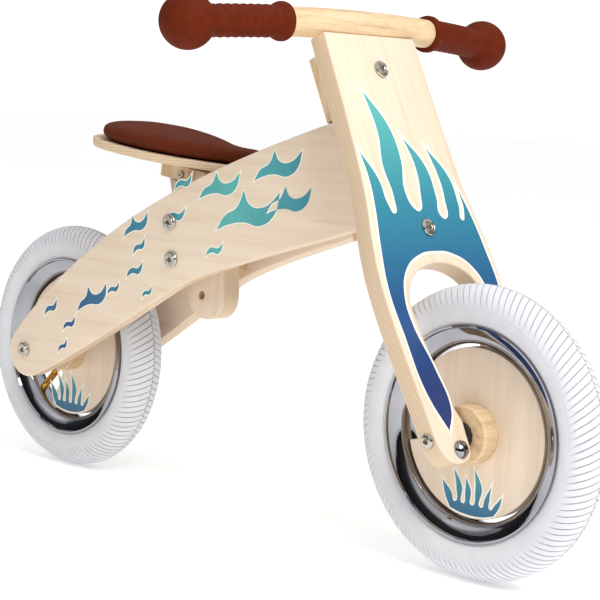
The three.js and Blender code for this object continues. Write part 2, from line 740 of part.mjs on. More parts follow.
function addSeat() {
  const board = piece(
    "seat_board",
    bike,
    sideExtrusion(seatProfile(0), 200).translate(0, 100, 0),
    birch,
  );
  const deep = { depth: 200, bevelEnabled: false, curveSegments: 12 };
  const plan = new THREE.ExtrudeGeometry(seatOutline(0), deep)
    .translate(0, 0, seatLevel - 80)
    .applyMatrix4(bike.matrixWorld);

  const cushion = new THREE.ExtrudeGeometry(seatOutline(2), {
    depth: cushionHeight - 14,
    bevelEnabled: true,
    bevelThickness: 7,
    bevelSize: 9,
    bevelOffset: -9,
    bevelSegments: 2,
    curveSegments: 7,
  }).translate(0, 0, 7);
  const points = cushion.attributes.position;
  for (let i = 0; i < points.count; i += 1) {
    points.setZ(i, points.getZ(i) + seatLevel + seatRise(points.getX(i)) + 2 * fit);
  }
  cushion.computeVertexNormals();
  piece("seat_cushion", bike, cushion, brownHide);

  const underside = (x) => seatLevel + seatRise(x) - seatBoardThickness;
  const topRear = 147;
  const topFront = 228;
  const shape = new THREE.Shape();
  const rearFoot = boltLine.x - 13.5;
  const frontFoot = boltLine.x + 39.5;
  const footZ = boltLine.z - 97;
  const footRadius = 21;
  shape.moveTo(topFront, underside(topFront) - 1);
  shape.lineTo(topRear, underside(topRear) - 1);
  shape.lineTo(rearFoot - 1, footZ + 34);
  shape.quadraticCurveTo(rearFoot + 1, footZ, rearFoot + footRadius + 3, footZ);
  shape.quadraticCurveTo(frontFoot, footZ, frontFoot, footZ + footRadius + 7);
  shape.lineTo(frontFoot - 5, boltLine.z);
  shape.closePath();
  const post = piece(
    "seat_post",
    bike,
    sideExtrusion(shape, postThickness, 1.5).translate(0, postThickness / 2, 0),
    birch,
  );

  const cleatLength = 62;
  const cleatHeight = 14;
  const cleatWidth = 14;
  const cleatX = (topRear + topFront) / 2;
  const slope = Math.atan2(underside(topRear) - underside(topFront), topFront - topRear);
  const cleatZ = underside(cleatX) - 1.6 - cleatHeight / 2;
  const screwTools = [];
  const cleats = [];
  for (const [side, sign] of [["right", -1], ["left", 1]]) {
    const y = sign * (postThickness / 2 + fit + cleatWidth / 2);
    const cleat = piece(
      `seat_cleat_${side}`,
      bike,
      new THREE.BoxGeometry(cleatLength, cleatWidth, cleatHeight),
      beech,
      [cleatX, y, cleatZ],
      [0, slope, 0],
    );
    const screwX = cleatX + sign * 18; // one screw towards the tail, the other towards the nose
    const head = cleatZ - cleatHeight / 2 - (screwX - cleatX) * Math.tan(slope) - 3.4;
    screwTools.push(rodTool(bike, [screwX, y, head], [screwX, y, head + 24], 2.2));
    piece(`seat_screw_${side}`, bike, boltShape(4, 2, 1.9, 22), nickel, [screwX, y, head], facingDown);
    cleats.push([cleat, [rodTool(bike, [screwX, y, head - 10], [screwX, y, head + 40], 2.2)]]);
  }
  const crossX = cleatX;
  const cross = [[crossX, -40, cleatZ - 1], [crossX, 40, cleatZ - 1]];
  const crossTool = () => rodTool(bike, cross[0], cross[1], 2.2);
  for (const [cleat, tools] of cleats) carve(cleat, [...tools, crossTool()]);
  const crossHalf = postThickness / 2 + cleatWidth + 2 * fit;
  const crossBolt = boltShape(4, 2, 1.9, 2 * crossHalf + 2);
  piece("seat_cross_bolt", bike, crossBolt, nickel, [crossX, -crossHalf - 2, cleatZ - 1]);
  carve(board, screwTools, [plan]);

  // The saddle bolts stand still in the panels, and the post slides past them in a slot.
  const slotTop = boltLine;
  const slotLow = {
    x: lowerBolt.x + holePitch * Math.sin(postLean),
    z: lowerBolt.z - holePitch * Math.cos(postLean),
  };
  const slotRadius = boltRadius + running;
  const slot = sideExtrusion(slotShape(slotTop, slotLow, slotRadius), 60)
    .translate(0, 30, 0)
    .applyMatrix4(bike.matrixWorld);
  carve(post, [slot, crossTool()]);
}

function slotShape(top, low, radius) {
  const lean = Math.atan2(low.x - top.x, top.z - low.z);
  const shape = new THREE.Shape();
  shape.absarc(low.x, low.z, radius, Math.PI + lean, 2 * Math.PI + lean, false);
  shape.absarc(top.x, top.z, radius, lean, Math.PI + lean, false);
  return shape;
}

function addSeatMounting() {
  const cheekX = [182, 230];
  const cheekZ = [boltLine.z - 48, boltLine.z + 12];
  for (const [side, sign] of [["right", -1], ["left", 1]]) {
    const inner = postThickness / 2 + fit;
    const shape = new THREE.Shape();
    shape.moveTo(cheekX[0], sign * inner);
    shape.lineTo(cheekX[1], sign * inner);
    shape.lineTo(cheekX[1], sign * (panelInner(cheekX[1]) - fit));
    shape.lineTo(cheekX[0], sign * (panelInner(cheekX[0]) - fit));
    shape.closePath();
    const cheek = piece(
      `post_cheek_${side}`,
      bike,
      new THREE.ExtrudeGeometry(shape, { depth: cheekZ[1] - cheekZ[0], bevelEnabled: false }),
      beech,
      [0, 0, cheekZ[0]],
    );
    const hole = ({ x, z }) => rodTool(bike, [x, 0, z], [x, sign * 60, z], boltRadius + fit);
    carve(cheek, [boltLine, lowerBolt].map(hole));
  }
  for (const [i, { x, z }] of [boltLine, lowerBolt].entries()) {
    const head = 3.2;
    const face = panelOuter(x - boltHeadRadius) + fit + head;
    const bolt = boltShape(boltHeadRadius, head, boltRadius, 2 * face - 8);
    piece(`seat_bolt_${i + 1}`, bike, bolt, nickel, [x, -face, z]);
    piece(`seat_nut_${i + 1}`, bike, capNut(head), nickel, [x, face, z], facingLeft);
  }
}

// A low round cap that closes the far end of a saddle bolt.
function capNut(height) {
  return turned(
    [
      [0, 1.6],
      [3, 1.6],
      [3, 0],
      [boltHeadRadius - 1.5, 0],
      [boltHeadRadius, 1.5],
      [boltHeadRadius, height],
      [0, height],
    ],
    boltSides,
  );
}

addPanel("right");
addPanel("left");
addHead();
addFork();
addHandlebar();
addFrontAxle();
addRearAxle();
addSeatMounting();
addSeat();
addWheel("rear", bike, [0, 0, 0], notchMiddle.rear);
addWheel("front", fork, [boardMiddle, 0, 0], notchMiddle.front);

export default root;
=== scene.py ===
# %% [markdown]
# # A child's wooden balance bike
# The moving frame was made first, as exact solids. Here each visible piece gets its fine shape and finish.
# Everything is in metres, +X points forward, +Y to the rider's left and +Z up.

# %% Load the frame
import math

import bpy
import numpy as np
from mathutils import Matrix, Vector


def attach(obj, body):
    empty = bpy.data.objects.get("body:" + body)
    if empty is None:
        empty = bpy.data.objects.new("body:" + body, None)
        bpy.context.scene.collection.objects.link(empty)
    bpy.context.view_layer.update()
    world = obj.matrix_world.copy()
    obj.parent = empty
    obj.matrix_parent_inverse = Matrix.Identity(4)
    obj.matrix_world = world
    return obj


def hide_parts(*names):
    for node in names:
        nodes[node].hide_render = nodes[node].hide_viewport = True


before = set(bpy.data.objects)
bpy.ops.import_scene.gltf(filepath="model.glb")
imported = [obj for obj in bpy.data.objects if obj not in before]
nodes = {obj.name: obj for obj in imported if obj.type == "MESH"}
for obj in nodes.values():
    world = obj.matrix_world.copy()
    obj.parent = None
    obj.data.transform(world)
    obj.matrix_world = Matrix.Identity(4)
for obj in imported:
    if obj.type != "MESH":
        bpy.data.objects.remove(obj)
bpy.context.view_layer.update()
MM = 0.001
BOARD_THICKNESS, PANEL_THICKNESS = 19, 18
BOARD_FACE = 36.5  # from the steering axis to the front of the fork board
PANEL_SPREAD = 70  # from the middle to a side panel, at the rear axle
print("pieces in the frame:", len(nodes))

# %% [markdown]
# The fork leans back, and the two side panels close in towards it. A matrix for each holds where its flat
# face lies, so that boards and prints can be drawn flat and then stood in place.

# %% Places
LEAN = math.radians(25.8)
SPLAY = math.atan(0.1)
REAR_AXLE = Vector((-0.28, 0, 0.13))
FRONT_AXLE = Vector((0.28, 0, 0.13))
AXLE_AHEAD = 27 * MM
FORK_ORIGIN = FRONT_AXLE - Vector((math.cos(LEAN), 0, math.sin(LEAN))) * AXLE_AHEAD
AHEAD = Vector((math.cos(LEAN), 0, math.sin(LEAN)))
UP_FORK = Vector((-math.sin(LEAN), 0, math.cos(LEAN)))
LEFT = Vector((0, 1, 0))


def matrix_of(x_axis, y_axis, z_axis, origin):
    """A matrix whose columns are three directions and a place."""
    turn = Matrix((x_axis, y_axis, z_axis)).transposed().to_4x4()
    return Matrix.Translation(origin) @ turn


FORK = matrix_of(AHEAD, LEFT, UP_FORK, FORK_ORIGIN)  # ahead, left, up the steering axis
BOARD_MIDDLE = matrix_of(LEFT, UP_FORK, AHEAD, FORK_ORIGIN + AHEAD * AXLE_AHEAD)
BOARD_FRONT = matrix_of(LEFT, UP_FORK, AHEAD, FORK_ORIGIN + AHEAD * BOARD_FACE * MM)


def panel_matrix(side, inward):
    """Along the panel, up, and out of its outer face; inward moves it into the wood."""
    along = Vector((math.cos(SPLAY), -side * math.sin(SPLAY), 0))
    out = Vector((math.sin(SPLAY), side * math.cos(SPLAY), 0))
    start = REAR_AXLE + Vector((0, side * PANEL_SPREAD * MM, 0))
    return matrix_of(along, Vector((0, 0, 1)), out, start - out * inward)


print("steering axis meets the axle's height at", [round(v, 4) for v in FORK_ORIGIN])

# %% [markdown]
# Three habits keep operators predictable: nothing is selected before a piece is added, the finished piece
# is placed inside its mesh, and smooth shading stops at real corners.

# %% Helpers for pieces


def start_clean():
    if bpy.context.object and bpy.context.object.mode != "OBJECT":
        bpy.ops.object.mode_set(mode="OBJECT")
    bpy.ops.object.select_all(action="DESELECT")


def only(obj):
    start_clean()
    obj.select_set(True)
    bpy.context.view_layer.objects.active = obj
    return obj


def tidy_mesh(obj, merge=1e-6):
    only(obj)
    bpy.ops.object.mode_set(mode="EDIT")
    bpy.ops.mesh.select_all(action="SELECT")
    bpy.ops.mesh.remove_doubles(threshold=merge)
    bpy.ops.mesh.dissolve_degenerate(threshold=merge)
    bpy.ops.mesh.normals_make_consistent(inside=False)
    bpy.ops.object.mode_set(mode="OBJECT")
    return obj


def settle(obj, place, corner=35):
    """Puts the piece's place into its mesh, then shades it smooth up to a corner's angle."""
    obj.data.transform(obj.matrix_world)
    obj.matrix_world = Matrix.Identity(4)
    obj.data.transform(place)
    if place.determinant() < 0:
        obj.data.flip_normals()
    only(obj)
    bpy.ops.object.shade_smooth_by_angle(angle=math.radians(corner))
    return obj


def finish_piece(obj, body, finish, replaced=()):
    obj.data.materials.clear()
    obj.data.materials.append(finish)
    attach(obj, body)
    if replaced:
        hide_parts(*replaced)
    print(f"{obj.name}: {len(obj.data.polygons)} faces, on {body}")
    return obj


# %% [markdown]
# Round pieces such as tyres, rims and bolts are turned. A circle primitive is pulled into half of the
# section, and Spin sweeps it once round. That gives even faces, which a lathe-like piece needs.

# %% Turning


def spun(name, section, steps, place, corner=35, shape=None):
    """Section is (radius, height) in millimetres, a closed loop; height runs along the turned axis."""
    start_clean()
    bpy.ops.mesh.primitive_circle_add(vertices=len(section), radius=0.01)
    obj = bpy.context.object
    obj.name = obj.data.name = name
    for vertex, (radius, height) in zip(obj.data.vertices, section):
        vertex.co = (radius * MM, 0, height * MM)
    bpy.ops.object.mode_set(mode="EDIT")
    bpy.ops.mesh.select_all(action="SELECT")
    bpy.ops.mesh.spin(steps=steps, angle=2 * math.pi, center=(0, 0, 0), axis=(0, 0, 1))
    bpy.ops.object.mode_set(mode="OBJECT")
    tidy_mesh(obj)
    if shape:
        shape(obj)
    return settle(obj, place, corner)


def facing(direction, origin):
    """A matrix that stands a turned piece on its axis."""
    turn = Vector((0, 0, 1)).rotation_difference(Vector(direction)).to_matrix().to_4x4()
    return Matrix.Translation(origin) @ turn


# %% [markdown]
# Boards are sawn from a drawn outline. A flat curve with a little depth and a rounded edge does what a
# fretsaw and a router do, and it becomes a mesh once its outline is right.

# %% Sawing


def bezier(p, q, r, s, count=20):
    t = np.linspace(0, 1, count + 1)[1:, None]
    p, q, r, s = (np.array(v, float) for v in (p, q, r, s))
    return (1 - t) ** 3 * p + 3 * (1 - t) ** 2 * t * q + 3 * (1 - t) * t**2 * r + t**3 * s


def outline(start, steps):
    """Each step is a point to go straight to, or two or one handles and the point at the curve's end."""
    points = [np.array(start, float)]
    for step in steps:
        if len(step) == 1:
            points.append(np.array(step[0], float))
            continue
        here = points[-1]
        if len(step) == 2:
            handle, end = (np.array(v, float) for v in step)
            step = (here + (handle - here) * 2 / 3, end + (handle - end) * 2 / 3, end)
        points.extend(bezier(here, *step))
    return [tuple(p) for p in points]


def circle_of(centre, radius, from_deg=0, to_deg=360, count=40):
    angles = np.radians(np.linspace(from_deg, to_deg, count))
    return [(centre[0] + radius * math.cos(a), centre[1] + radius * math.sin(a)) for a in angles]


def sawn(name, loops, thickness, edge, place, corner=35, middle=0.0):
    """Outer loop first, then holes; all in millimetres, thickness across the middle of the outline."""
    curve = bpy.data.curves.new(name, "CURVE")
    curve.dimensions, curve.fill_mode = "2D", "BOTH"
    for loop in loops:
        clean = [loop[0]]
        for point in loop[1:]:
            if math.dist(point, clean[-1]) > 0.02:
                clean.append(point)
        if math.dist(clean[0], clean[-1]) < 0.02:
            clean.pop()
        spline = curve.splines.new("POLY")
        spline.points.add(len(clean) - 1)
        for point, (x, y) in zip(spline.points, clean):
            point.co = (x * MM, y * MM, 0, 1)
        spline.use_cyclic_u = True
    curve.extrude = (thickness / 2 - edge) * MM
    curve.bevel_depth, curve.bevel_resolution = edge * MM, 2
    curve.offset = -edge * MM
    start_clean()
    obj = bpy.data.objects.new(name, curve)
    bpy.context.scene.collection.objects.link(obj)
    only(obj)
    bpy.ops.object.convert(target="MESH")
    obj = bpy.context.object
    obj.data.transform(Matrix.Translation((0, 0, middle * MM)))
    tidy_mesh(obj, 2e-6)
    return settle(obj, place, corner)


# %% [markdown]
# ## Finishes
# Each finish is made of nodes. Colours are written as they look on a screen and are turned into the
# linear numbers that a shader wants.

# %% Node helpers


def linear(*rgb):
    return tuple(c / 12.92 if c <= 0.04045 else ((c + 0.055) / 1.055) ** 2.4 for c in rgb) + (1,)


def new_finish(name):
    material = bpy.data.materials.new(name)
    material.use_nodes = True
    tree = material.node_tree
    return material, tree, tree.nodes["Principled BSDF"]


def node(tree, kind, settings=None, **inputs):
    made = tree.nodes.new(kind)
    for key, value in (settings or {}).items():
        setattr(made, key, value)
    for key, value in inputs.items():
        socket = made.inputs[int(key[1:])] if key[0] == "i" and key[1:].isdigit() else made.inputs[key]
        if isinstance(value, bpy.types.NodeSocket):
            tree.links.new(value, socket)
        else:
            socket.default_value = value
    return made


def maths(tree, operation, a, b=0.0):
    return node(tree, "ShaderNodeMath", {"operation": operation}, i0=a, i1=b).outputs[0]


def object_place(tree, location=(0, 0, 0), rotation=(0, 0, 0)):
    """Object coordinates seen from a turned and moved origin."""
    source = node(tree, "ShaderNodeTexCoord").outputs["Object"]
    mapping = node(tree, "ShaderNodeMapping", {"vector_type": "TEXTURE"}, Vector=source)
    mapping.inputs["Location"].default_value = location
    mapping.inputs["Rotation"].default_value = rotation
    return mapping.outputs[0]


def ramp(tree, factor, stops):
    made = node(tree, "ShaderNodeValToRGB", Fac=factor)
    elements = made.color_ramp.elements
    while len(elements) < len(stops):
        elements.new(0.5)
    for element, (position, colour) in zip(elements, stops):
        element.position, element.color = position, colour
    return made.outputs["Color"]


def stretched(tree, vector, scale):
    return node(tree, "ShaderNodeVectorMath", {"operation": "MULTIPLY"}, i0=vector, i1=scale).outputs[0]


def noise(tree, vector, scale, detail=3.0, rough=0.5):
    made = node(tree, "ShaderNodeTexNoise", Vector=vector, Scale=scale, Detail=detail, Roughness=rough)
    return made.outputs["Fac"]


def mixed(tree, factor, a, b):
    mix = node(tree, "ShaderNodeMix", {"data_type": "RGBA"})
    for socket, value in ((0, factor), (6, a), (7, b)):
        if isinstance(value, bpy.types.NodeSocket):
            tree.links.new(value, mix.inputs[socket])
        else:
            mix.inputs[socket].default_value = value
    return mix.outputs[2]


def bump(tree, shader, height, strength, distance):
    made = node(tree, "ShaderNodeBump", Height=height, Strength=strength, Distance=distance * MM)
    tree.links.new(made.outputs[0], shader.inputs["Normal"])


# %% [markdown]
# Birch plywood shows pale, fine grain on its faces and thin brown glue lines on its edges. The distance
# through the board decides which of the two shows, so one finish suits a whole board.

# %% Plywood
AXES = {"X": 0, "Y": 1, "Z": 2}


def plywood(name, location, rotation, through, along, thickness, start):
    material, tree, shader = new_finish(name)
    place = object_place(tree, location, rotation)
    parts = node(tree, "ShaderNodeSeparateXYZ", Vector=place).outputs
    depth = maths(tree, "SUBTRACT", parts[through], start * MM)
    from_middle = maths(tree, "ABSOLUTE", maths(tree, "SUBTRACT", depth, thickness * MM / 2))
    edge_band = node(
        tree, "ShaderNodeMapRange", Value=from_middle,
        **{"From Min": (thickness / 2 - 1.3) * MM, "From Max": (thickness / 2 - 1.0) * MM},
    ).outputs[0]
    scale = [110, 110, 110]
    scale[AXES[along]] = 7
    grain = noise(tree, stretched(tree, place, scale), 1.0, 5.0, 0.6)
    broad = noise(tree, stretched(tree, place, [s / 7 for s in scale]), 1.0, 2.0)
    face = ramp(tree, grain, [
        (0.32, linear(0.862, 0.775, 0.675)), (0.5, linear(0.900, 0.825, 0.735)),
        (0.7, linear(0.920, 0.852, 0.768))])
    warm = mixed(tree, maths(tree, "MULTIPLY", broad, 0.35), face, linear(0.88, 0.785, 0.675))
    layers = maths(tree, "SINE", maths(tree, "MULTIPLY", depth, 2 * math.pi / (2.9 * MM)))
    edge = ramp(tree, maths(tree, "MULTIPLY_ADD", layers, 0.5), [
        (0.0, linear(0.86, 0.765, 0.65)), (0.35, linear(0.89, 0.80, 0.69)), (0.5, linear(0.80, 0.69, 0.55))])
    fibre = noise(tree, stretched(tree, place, [900, 900, 900]), 1.0, 2.0)
    edge = mixed(tree, maths(tree, "MULTIPLY", fibre, 0.35), edge, linear(0.86, 0.77, 0.655))
    tree.links.new(mixed(tree, edge_band, edge, warm), shader.inputs["Base Color"])
    shader.inputs["Roughness"].default_value = 0.48
    shader.inputs["Coat Weight"].default_value = 0.12
    shader.inputs["Coat Roughness"].default_value = 0.3
    bump(tree, shader, grain, 0.12, 0.08)
    return material


NONE = (0, 0, 0)
ply_fork = plywood("ply_fork", FORK_ORIGIN, (0, -LEAN, 0), "X", "Z", 19, 17.5)
ply_right = plywood("ply_panel_right", (-0.28, -0.07, 0.13), (0, 0, SPLAY), "Y", "X", 18, 0)
ply_left = plywood("ply_panel_left", (-0.28, 0.07, 0.13), (0, 0, -SPLAY), "Y", "X", 18, -18)
ply_post = plywood("ply_post", NONE, NONE, "Y", "Z", 22, -11)
ply_disc = plywood("ply_disc", NONE, NONE, "Y", "Z", 15, -7.5)
ply_seat = plywood("ply_seat", (0, 0, 0.345), NONE, "Z", "X", 60, -30)
print("plywood finishes made")

# %% [markdown]
# Beech is a warmer, solid wood with short darker flecks. Stretched noise gives the grain, and a finer,
# sharper noise the flecks.

# %% Beech and the other finishes


def beech_wood(name, along):
    material, tree, shader = new_finish(name)
    place = object_place(tree)
    scale = [150, 150, 150]
    scale[AXES[along]] = 11
    grain = noise(tree, stretched(tree, place, scale), 1.0, 5.0, 0.6)
    flecks = noise(tree, stretched(tree, place, [s * 5 for s in scale]), 1.0, 1.0)
    base = ramp(tree, grain, [
        (0.3, linear(0.76, 0.62, 0.45)), (0.5, linear(0.86, 0.745, 0.585)), (0.72, linear(0.91, 0.81, 0.66))])
    chosen = {"From Min": 0.6, "From Max": 0.7, "To Max": 0.3}
    fleck = node(tree, "ShaderNodeMapRange", Value=flecks, **chosen).outputs[0]
    tree.links.new(mixed(tree, fleck, base, linear(0.60, 0.44, 0.29)), shader.inputs["Base Color"])
    shader.inputs["Roughness"].default_value = 0.5
    bump(tree, shader, grain, 0.15, 0.1)
    return material


def plain_finish(
    name, low, high, roughness, metallic=0.0, scale=300.0, strength=0.1, deep=0.05, spread=0.06, **sockets
):
    """A finish whose colour, roughness and surface vary a little, as a moulded or plated one does."""
    material, tree, shader = new_finish(name)
    place = object_place(tree)
    fine = noise(tree, place, scale, 4.0, 0.6)
    cloudy = noise(tree, place, scale / 12, 2.0)
    shade = ramp(tree, cloudy, [(0.3, linear(*low)), (0.7, linear(*high))])
    tree.links.new(shade, shader.inputs["Base Color"])
    varied = node(
        tree, "ShaderNodeMapRange", Value=fine,
        **{"From Min": 0.3, "From Max": 0.7},
        **{"To Min": max(0.02, roughness - spread), "To Max": roughness + spread},
    )
    tree.links.new(varied.outputs[0], shader.inputs["Roughness"])
    shader.inputs["Metallic"].default_value = metallic
    for key, value in sockets.items():
        shader.inputs[key].default_value = value
    bump(tree, shader, fine, strength, deep)
    return material


beech_across = beech_wood("beech_across", "Y")
beech_upright = beech_wood("beech_upright", "Z")
brown_rubber = plain_finish(
    "brown_rubber", (0.35, 0.105, 0.005), (0.39, 0.125, 0.012), 0.7, scale=1400.0, strength=0.25,
    **{"Specular IOR Level": 0.12})
brown_hide = plain_finish(
    "brown_hide", (0.33, 0.115, 0.012), (0.37, 0.135, 0.02), 0.62, scale=900.0, strength=0.3, deep=0.12,
    **{"Specular IOR Level": 0.14})


def tyre_rubber(name, axle):
    """White rubber, with painted shade greying the crown where the grooves between the tread bars lie."""
    material, tree, shader = new_finish(name)
    place = object_place(tree, axle)
    flat = stretched(tree, place, (1, 0, 1))
    radius = node(tree, "ShaderNodeVectorMath", {"operation": "LENGTH"}, i0=flat).outputs["Value"]
    crown_band = {"From Min": 111 * MM, "From Max": 119 * MM}
    groove_shade = node(tree, "ShaderNodeMapRange", Value=radius, **crown_band).outputs[0]
    shades = [(0.3, linear(0.845, 0.848, 0.865)), (0.7, linear(0.875, 0.878, 0.89))]
    cloudy = ramp(tree, noise(tree, place, 50.0), shades)
    # painted shade: the crown band is mixed to grey so the body showing between the tread bars reads as shade
    # in the grooves
    tree.links.new(mixed(tree, groove_shade, cloudy, linear(0.66, 0.665, 0.68)), shader.inputs["Base Color"])
    shader.inputs["Roughness"].default_value = 0.6
    bump(tree, shader, noise(tree, place, 700.0), 0.15, 0.05)
    return material


white_tyre = plain_finish(
    "white_tyre", (0.845, 0.848, 0.865), (0.875, 0.878, 0.89), 0.6, scale=700.0, strength=0.15)
black_rubber = plain_finish("black_rubber", (0.07, 0.07, 0.075), (0.11, 0.11, 0.115), 0.6)
black_nylon = plain_finish("black_nylon", (0.06, 0.06, 0.065), (0.10, 0.10, 0.11), 0.42)
chrome = plain_finish("chrome", (0.56, 0.56, 0.58), (0.64, 0.64, 0.66), 0.06, 1.0, strength=0.02, spread=0.03)
nickel = plain_finish("nickel", (0.68, 0.66, 0.62), (0.76, 0.74, 0.70), 0.24, 1.0)
brass = plain_finish("brass", (0.68, 0.49, 0.20), (0.78, 0.58, 0.26), 0.28, 1.0)
print("other finishes made")

# %% [markdown]
# The prints fade from navy at the bottom to teal at the top, and each has a pale outline where the ink
# stops short of the varnish. Height along the board drives the fade.


# %% Inks
def flame_ink(name, location, rotation, axis, low, high, colours):
    material, tree, shader = new_finish(name)
    place = object_place(tree, location, rotation)
    height = node(tree, "ShaderNodeSeparateXYZ", Vector=place).outputs[axis]
    span = {"From Min": low * MM, "From Max": high * MM}
    share = node(tree, "ShaderNodeMapRange", Value=height, **span).outputs[0]
    grain = maths(tree, "MULTIPLY", noise(tree, place, 260.0, 3.0), 0.08)
    stops = [(i / (len(colours) - 1), linear(*c)) for i, c in enumerate(colours)]
    tree.links.new(ramp(tree, maths(tree, "ADD", share, grain), stops), shader.inputs["Base Color"])
    shader.inputs["Roughness"].default_value = 0.4
    return material


NAVY, BLUE, TEAL, PALE_TEAL = (0.075, 0.16, 0.40), (0.10, 0.30, 0.50), (0.17, 0.50, 0.58), (0.33, 0.68, 0.66)
ink_fork = flame_ink("ink_fork", FORK_ORIGIN, (0, -LEAN, 0), "Z", 40, 310, (NAVY, BLUE, TEAL, PALE_TEAL))
ink_panel = flame_ink("ink_panel", (-0.28, 0, 0.13), NONE, "X", -20, 400, (TEAL, BLUE, TEAL, PALE_TEAL, TEAL))
ink_front_disc = flame_ink("ink_front_disc", FRONT_AXLE, NONE, "Z", -76, -20, (BLUE, TEAL, PALE_TEAL))
ink_rear_disc = flame_ink("ink_rear_disc", REAR_AXLE, NONE, "Z", -76, -20, (BLUE, TEAL, PALE_TEAL))
halo = plain_finish("pale_outline", (0.955, 0.93, 0.875), (0.97, 0.95, 0.90), 0.45)

# %% [markdown]
# ## Boards
# The fork board is the bike's front: one leaning board with an arch over the wheel and two legs.

# %% Fork board
HALF_TOP, WIDEST, FOOT, ARCH, ARCH_TOP, INSIDE, LEG_END, TOP = 60, 80.5, 70, 51, 153, 29.3, -25, 372
left_half = [
    ((HALF_TOP + 3, 280), (63, 236), (72, 196)),
    ((77, 174), (WIDEST, 152), (WIDEST, 132)),
    ((WIDEST, 92), (FOOT + 4, 52), (FOOT + 0.6, 8)),
    ((FOOT - 1, LEG_END), (FOOT - 24, LEG_END)),
    ((INSIDE, LEG_END), (INSIDE, LEG_END + 15)),
    ((INSIDE, 11),),
    ((INSIDE + 5, 22),),
    ((41, 60), (ARCH, 92), (ARCH, 112)),
    ((ARCH, 138), (27, ARCH_TOP), (0, ARCH_TOP)),
]
half_board = outline((HALF_TOP, TOP), left_half)
fork_outline = half_board + [(-x, y) for x, y in reversed(half_board[:-1])]
fork_board = sawn("fork_board_fine", [fork_outline], BOARD_THICKNESS, 1.6, BOARD_MIDDLE)
finish_piece(fork_board, "fork", ply_fork, ["fork_board"])

# %% [markdown]
# Each side panel is one long curve from the rear axle up to the steering head. Both come from the same
# outline, and the left one lies in a mirrored place.

# %% Side panels


def fork_to_side(ahead, up):
    """A place on the fork, seen from the side, measured from the rear axle."""
    point = FORK @ Vector((ahead * MM, 0, up * MM)) - REAR_AXLE
    return point.x / MM, point.z / MM


BOLT_X, BOLT_Z = 201.5, 152.7
top, low = fork_to_side(-2, 304.5), fork_to_side(-2, 202)
knee = (BOLT_X + 4.5, BOLT_Z - 66.7)
run = low[0] - knee[0]
end_arc = circle_of((4, -1), 27, 139, 298, 40)
panel_points = outline(end_arc[-1], [
    ((60, -6), (knee[0] - 54, knee[1] - 33), knee),
    ((knee[0] + run / 6, knee[1] + 22.5), (knee[0] + run * 0.6, low[1] - 28), low),
    (top,),
    ((top[0] - 162, top[1] - 54.5), (4 + 91, -1 + 146), end_arc[0]),
])
stretch = 1 / math.cos(SPLAY)
panel_outline = [(x * stretch, z) for x, z in end_arc[:-1] + panel_points[:-1]]
for side, word, finish in ((-1, "right", ply_right), (1, "left", ply_left)):
    panel = sawn(f"side_panel_{word}_fine", [panel_outline], PANEL_THICKNESS, 1.6, panel_matrix(side,
                                             PANEL_THICKNESS / 2 * MM))
    finish_piece(panel, "frame", finish, [f"side_panel_{word}"])

# %% [markdown]
# The saddle board is thin, so it is bent: flat towards the nose and rising to the tail. It is sawn flat,
# cut across in narrow strips with Bisect, and each cut line is lifted.

# %% Saddle board
SEAT_LEVEL = 211


def seat_rise(x):
    return 21 * max(0.0, (190 - (x - 50)) / 190) ** 1.2


def seat_loop(inset):
    tail, nose = 57 - inset, 17 - inset
    loop = circle_of((107, 0), tail, 90, 270, 40)
    loop += outline((107, -tail), [((202, -tail), (208, -nose), (263, -nose))])[1:]
    loop += circle_of((263, 0), nose, -90, 90, 16)[1:]
    return loop + outline((263, nose), [((208, nose), (202, tail), (107, tail))])[1:-1]


def cut_across(obj, first, last, step):
    only(obj)
    bpy.ops.object.mode_set(mode="EDIT")
    for x in np.arange(first, last, step):
        bpy.ops.mesh.select_all(action="SELECT")
        bpy.ops.mesh.bisect(plane_co=(x * MM, 0, 0), plane_no=(1, 0, 0))
    bpy.ops.object.mode_set(mode="OBJECT")


def bend_to_seat(obj, level):
    for vertex in obj.data.vertices:
        vertex.co.z += (level + seat_rise(vertex.co.x / MM)) * MM
    obj.data.transform(Matrix.Translation(REAR_AXLE))


seat_board = sawn("seat_board_fine", [seat_loop(0)], 8, 1.2, Matrix.Identity(4), middle=-4)
cut_across(seat_board, 55, 280, 8)
bend_to_seat(seat_board, SEAT_LEVEL)
finish_piece(seat_board, "seat", ply_seat, ["seat_board"])

# %% [markdown]
# The saddle stands on a ply post that runs down between the panels. Its foot is rounded, and a spare hole
# shows below the two bolts.

# %% Saddle post


def underside(x):
    return SEAT_LEVEL + seat_rise(x) - 8


foot_z = BOLT_Z - 97
post_loop = outline((228, underside(228) - 0.5), [
    ((147, underside(147) - 0.5),),
    ((BOLT_X - 14.5, foot_z + 34),),
    ((BOLT_X - 12.5, foot_z), (BOLT_X + 10.5, foot_z)),
    ((BOLT_X + 39.5, foot_z), (BOLT_X + 39.5, foot_z + 28)),
    ((BOLT_X + 34.5, BOLT_Z),),
])
spare_hole = circle_of((208.4, 79.6), 4.3, 0, 351, 40)
post_place = matrix_of(Vector((1, 0, 0)), Vector((0, 0, 1)), Vector((0, -1, 0)), REAR_AXLE)
post = sawn("seat_post_fine", [post_loop, spare_hole], 22, 1.4, post_place)
finish_piece(post, "seat", ply_post, ["seat_post"])

# %% [markdown]
# The saddle pad is foam under soft imitation leather. Its cover is stretched over a low block, so it is
# simulated: air pressure in a cloth shell gives the crown, while the underside stays pinned to the board.

# %% Saddle pad
pad_loop = [(x + 8 * max(0.0, (280 - x) / 230), y) for x, y in seat_loop(4)]
cushion = sawn("saddle_pad", [pad_loop], 16, 4.5, Matrix.Identity(4), middle=8.3)
cut_across(cushion, 66, 278, 10)
bend_to_seat(cushion, SEAT_LEVEL + 0.5)
PAD_BASE = REAR_AXLE.z / MM + SEAT_LEVEL


def above_board(co):
    return co.z / MM - PAD_BASE - seat_rise((co.x - REAR_AXLE.x) / MM)


